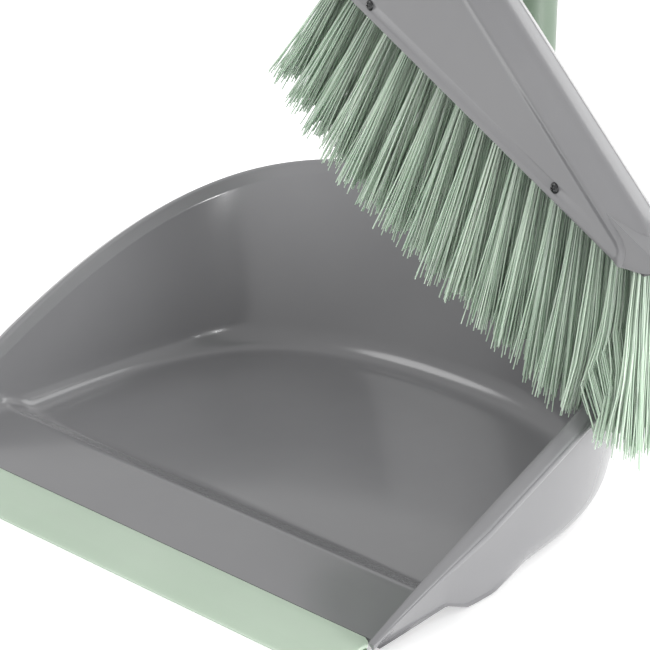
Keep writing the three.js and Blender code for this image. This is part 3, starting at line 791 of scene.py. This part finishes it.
def bristleTree():
    t = Tree("bristles")
    face = t.group.interface
    face.new_socket("Geometry", in_out="INPUT", socket_type="NodeSocketGeometry")
    whole = {"Columns", "Rows", "Strands", "Seed"}
    for key in bristle:
        kind = "NodeSocketInt" if key in whole else "NodeSocketFloat"
        face.new_socket(key, in_out="INPUT", socket_type=kind)
    face.new_socket("Material", in_out="INPUT", socket_type="NodeSocketMaterial")
    face.new_socket("Geometry", in_out="OUTPUT", socket_type="NodeSocketGeometry")
    source = t.add("NodeGroupInput")
    i = {s.name: s for s in source.outputs}
    target = t.add("NodeGroupOutput")

    grid = t.add("GeometryNodeMeshGrid")
    t.feed(t.math("MULTIPLY", t.math("SUBTRACT", i["Columns"], 1.0), i["Pitch"]), grid.inputs["Size X"])
    t.feed(t.math("MULTIPLY", t.math("SUBTRACT", i["Rows"], 1.0), i["Row Gap"]), grid.inputs["Size Y"])
    t.feed(i["Columns"], grid.inputs["Vertices X"])
    t.feed(i["Rows"], grid.inputs["Vertices Y"])
    toPoints = t.add("GeometryNodeMeshToPoints", mode="VERTICES")
    t.feed(grid.outputs["Mesh"], toPoints.inputs["Mesh"])
    where = t.add("ShaderNodeSeparateXYZ")
    t.feed(t.add("GeometryNodeInputPosition").outputs[0], where.inputs[0])
    spot = t.add("GeometryNodeInputIndex").outputs[0]
    points = t.store(toPoints.outputs["Points"], "tuftX", t.math("ADD", where.outputs["X"], i["Middle"]))
    points = t.store(points, "tuftY", where.outputs["Y"])
    points = t.store(points, "tuftTone", t.chance(0.0, 1.0, i["Seed"], spot))
    copies = t.add("GeometryNodeDuplicateElements", domain="POINT")
    t.feed(points, copies.inputs["Geometry"])
    t.feed(i["Strands"], copies.inputs["Amount"])
    strand = t.add("GeometryNodeInputIndex").outputs[0]
    seeds = [t.math("ADD", i["Seed"], float(k)) for k in range(1, 7)]
    angle = t.chance(0.0, 2 * math.pi, seeds[0], strand)
    radius = t.math("MULTIPLY", t.math("SQRT", t.chance(0.0, 1.0, seeds[1], strand)), i["Tuft Radius"])
    points = t.store(copies.outputs["Geometry"], "offX", t.math("MULTIPLY", radius, t.math("COSINE", angle)))
    points = t.store(points, "offY", t.math("MULTIPLY", radius, t.math("SINE", angle)))
    points = t.store(points, "longer", t.chance(-1.0, 1.0, seeds[2], strand))
    points = t.store(points, "bendX", t.chance(-1.0, 1.0, seeds[3], strand))
    points = t.store(points, "bendY", t.chance(-1.0, 1.0, seeds[4], strand))
    ownTone = t.math("MULTIPLY", t.chance(0.0, 1.0, seeds[5], strand), 0.75)
    tone = t.math("ADD", ownTone, t.math("MULTIPLY", t.read("tuftTone"), 0.25))
    points = t.store(points, "strandTone", tone)

    line = t.add("GeometryNodeCurvePrimitiveLine")
    line.inputs["End"].default_value = (0, 0, -1)
    finer = t.add("GeometryNodeResampleCurve")
    t.feed(line.outputs["Curve"], finer.inputs["Curve"])
    finer.inputs["Count"].default_value = 8
    strands = t.add("GeometryNodeInstanceOnPoints")
    t.feed(points, strands.inputs["Points"])
    t.feed(finer.outputs["Curve"], strands.inputs["Instance"])
    loose = t.add("GeometryNodeRealizeInstances")
    t.feed(strands.outputs["Instances"], loose.inputs["Geometry"])
    along = t.add("GeometryNodeSplineParameter").outputs["Factor"]
    curves = t.store(loose.outputs["Geometry"], "strandDown", along)

    down = t.read("strandDown")
    past = t.math("MAXIMUM", 0.0, t.math("SUBTRACT", -0.03, t.read("tuftX")))
    base = t.math("SUBTRACT", i["Length"], t.math("MULTIPLY", i["Left Trim"], t.math("MULTIPLY", past, past)))
    beyond = t.math("MAXIMUM", 0.0, t.math("SUBTRACT", t.read("tuftX"), 0.06))
    base = t.math("SUBTRACT", base, t.math("MULTIPLY", i["Right Trim"], t.math("MULTIPLY", beyond, beyond)))
    change = t.math("MULTIPLY", i["Length Change"], t.read("longer"))
    lengthNow = t.math("MULTIPLY", base, t.math("ADD", 1.0, change))
    depth = t.math("MULTIPLY", lengthNow, down)
    opened = t.math("ADD", 1.0, t.math("MULTIPLY", i["Spread"], down))
    wander = t.math("MULTIPLY", i["Wander"], t.math("MULTIPLY", down, down))
    leanX = t.math("MULTIPLY", depth, t.math("ADD", i["Lean"], t.math("MULTIPLY", i["Fan"], t.read("tuftX"))))
    x = t.math("ADD", t.math("ADD", t.read("tuftX"), leanX), t.math("MULTIPLY", t.read("offX"), opened))
    x = t.math("ADD", x, t.math("MULTIPLY", wander, t.read("bendX")))
    y = t.math("MULTIPLY", t.read("tuftY"), t.math("ADD", 1.0, t.math("MULTIPLY", i["Deepen"], down)))
    y = t.math("ADD", y, t.math("MULTIPLY", t.read("offY"), opened))
    y = t.math("ADD", y, t.math("MULTIPLY", wander, t.read("bendY")))
    partLine = t.math("ADD", i["Part At"], t.math("MULTIPLY", i["Part Slope"], y))
    away = t.math("SUBTRACT", x, partLine)
    near = t.math("DIVIDE", t.math("ABSOLUTE", away), t.math("MULTIPLY", i["Part Width"], 2.2))
    near = t.math("MAXIMUM", 0.0, t.math("SUBTRACT", 1.0, near))
    late = t.math("DIVIDE", t.math("SUBTRACT", down, 0.35), 0.45)
    late = t.math("MINIMUM", 1.0, t.math("MAXIMUM", 0.0, late))
    push = t.math("MULTIPLY", t.math("MULTIPLY", near, late), i["Part Width"])
    push = t.math("MULTIPLY", push, t.math("SIGN", away))
    place = t.add("ShaderNodeCombineXYZ")
    t.feed(t.math("ADD", x, push), place.inputs[0])
    t.feed(y, place.inputs[1])
    t.feed(t.math("MULTIPLY", depth, -1.0), place.inputs[2])
    move = t.add("GeometryNodeSetPosition")
    t.feed(curves, move.inputs["Geometry"])
    t.feed(place.outputs[0], move.inputs["Position"])
    thin = t.add("GeometryNodeSetCurveRadius")
    t.feed(move.outputs["Geometry"], thin.inputs["Curve"])
    t.feed(t.math("SUBTRACT", 1.0, t.math("MULTIPLY", 0.22, down)), thin.inputs["Radius"])
    circle = t.add("GeometryNodeCurvePrimitiveCircle")
    circle.inputs["Resolution"].default_value = 4
    t.feed(i["Strand Radius"], circle.inputs["Radius"])
    skin = t.add("GeometryNodeCurveToMesh")
    t.feed(thin.outputs["Curve"], skin.inputs["Curve"])
    t.feed(circle.outputs["Curve"], skin.inputs["Profile Curve"])
    if "Scale" in skin.inputs:
        t.feed(t.add("GeometryNodeInputRadius").outputs[0], skin.inputs["Scale"])
    skin.inputs["Fill Caps"].default_value = True
    real = t.add("GeometryNodeRealizeInstances")
    t.feed(skin.outputs["Mesh"], real.inputs["Geometry"])
    paint = t.add("GeometryNodeSetMaterial")
    t.feed(real.outputs["Geometry"], paint.inputs["Geometry"])
    t.feed(i["Material"], paint.inputs["Material"])
    t.feed(paint.outputs["Geometry"], target.inputs["Geometry"])
    return t.group


def buildBristles():
    group = bristleTree()
    seedMesh = bpy.data.meshes.new("bristles")
    seedMesh.from_pydata([(0, 0, 0)], [], [])
    obj = bpy.data.objects.new("bristles", seedMesh)
    scene.collection.objects.link(obj)
    mod = obj.modifiers.new("bristles", "NODES")
    mod.node_group = group
    for item in group.interface.items_tree:
        if item.item_type != "SOCKET" or item.in_out != "INPUT" or item.name == "Geometry":
            continue
        mod[item.identifier] = bristleGreen if item.name == "Material" else bristle[item.name]
    graph = bpy.context.evaluated_depsgraph_get()
    mesh = bpy.data.meshes.new_from_object(obj.evaluated_get(graph))
    obj.modifiers.clear()
    obj.data = mesh
    mesh.transform(brushFrame @ Matrix.Translation((0, 0, 0.0016)))
    for face in mesh.polygons:
        face.use_smooth = True
    mesh.update()
    return obj


bristles = buildBristles()
print("stage: bristles made", len(bristles.data.polygons), "faces")
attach(bristles, "brush")
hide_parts(*[f"tuft_{k:02d}" for k in range(1, 18)])


# storage clip on the pan's pole

clip = {"z": 470, "height": 18, "reach": 38, "inner": 11.8, "outer": 14.6}


def arc(radius, start, end, steps, cy=0.0):
    out = []
    for k in range(steps + 1):
        a = math.radians(start + (end - start) * k / steps)
        out.append((radius * math.cos(a), cy + radius * math.sin(a)))
    return out


# One flat outline: ring, arm and open jaw, stood up by the clip's height.
def buildClip():
    q, r, reach = clip["inner"], clip["outer"], clip["reach"]
    armHalf = 4.0
    touch = math.degrees(math.asin(armHalf / r))
    ringOut = arc(r, -90 + touch, 270 - touch, 60)
    jawLeft = arc(r, 90 + touch, 236, 30, -reach)
    jawLeft += [(-9.6, -reach - 12.6), (-8.6, -reach - 14.2), (-7.2, -reach - 13.2)]
    jawIn = arc(q - 0.1, 232, -52, 60, -reach)
    jawRight = [(7.2, -reach - 13.2), (8.6, -reach - 14.2), (9.6, -reach - 12.6)]
    jawRight += arc(r, -56, 90 - touch, 30, -reach)
    outline = ringOut + jawLeft + jawIn + jawRight
    n = len(outline)
    verts = [(x * mm, y * mm, z * mm) for z in (0, clip["height"]) for x, y in outline]
    faces = [tuple(range(n - 1, -1, -1)), tuple(range(n, 2 * n))]
    faces += [(i, (i + 1) % n, (i + 1) % n + n, i + n) for i in range(n)]
    body = addPiece("handleClip", verts, faces, blank)
    bore = shape("cut", latheMesh([(0, -2), (q, -2), (q, 22), (0, 22)], 80))
    place = Matrix.Translation((0, column["y"] * mm, clip["z"] * mm))
    return baked(soften(carve(body, [bore]), 0.0006, 50, 3), panGrey, 40, place)


handleClip = buildClip()
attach(handleClip, "clip")
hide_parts("handle_clip")

for node in ("bristle_block", "pan_pole_plug", "brush_pole_plug"):
    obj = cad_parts[node]
    obj.material_slots[0].link = "OBJECT"
    obj.material_slots[0].material = blackTrim
print("stage: clip made")


# floor, light and sky

studio = {"floorHalf": 6, "floorGlow": 0.3, "aim": (0, 0, 0.08), "sky": 0.9}
edge = studio["floorHalf"]
floorMesh = bpy.data.meshes.new("studioFloor")
floorCorners = [(-edge, -edge, 0), (edge, -edge, 0), (edge, edge, 0), (-edge, edge, 0)]
floorMesh.from_pydata(floorCorners, [], [(0, 1, 2, 3)])
studioFloor = bpy.data.objects.new("studioFloor", floorMesh)
scene.collection.objects.link(studioFloor)
floorMat, _, floorBsdf = newMaterial("paleFloor")
floorBsdf.inputs["Base Color"].default_value = (0.97, 0.97, 0.97, 1)
floorBsdf.inputs["Roughness"].default_value = 0.6
floorBsdf.inputs["Emission Color"].default_value = (1, 1, 1, 1)
floorBsdf.inputs["Emission Strength"].default_value = studio["floorGlow"]
floorMesh.materials.append(floorMat)

lights = [
    {"name": "key", "at": (-1.5, -1.3, 2.4), "size": 1.4, "power": 20},
    {"name": "fill", "at": (1.9, -0.2, 0.34), "size": 0.6, "power": 29},
    {"name": "rear", "at": (0.9, 2.2, 2.2), "size": 1.6, "power": 18},
]
for spec in lights:
    data = bpy.data.lights.new(spec["name"], "AREA")
    data.shape = "DISK"
    data.size = spec["size"]
    data.energy = spec["power"]
    obj = bpy.data.objects.new(spec["name"], data)
    obj.location = spec["at"]
    toAim = Vector(studio["aim"]) - Vector(spec["at"])
    obj.rotation_euler = toAim.to_track_quat("-Z", "Y").to_euler()
    scene.collection.objects.link(obj)

world = bpy.data.worlds.new("studio")
scene.world = world
world.use_nodes = True
back = world.node_tree.nodes["Background"]
back.inputs["Color"].default_value = (1, 1, 1, 1)
back.inputs["Strength"].default_value = studio["sky"]
scene.view_settings.view_transform = "Standard"
print("stage: light made")
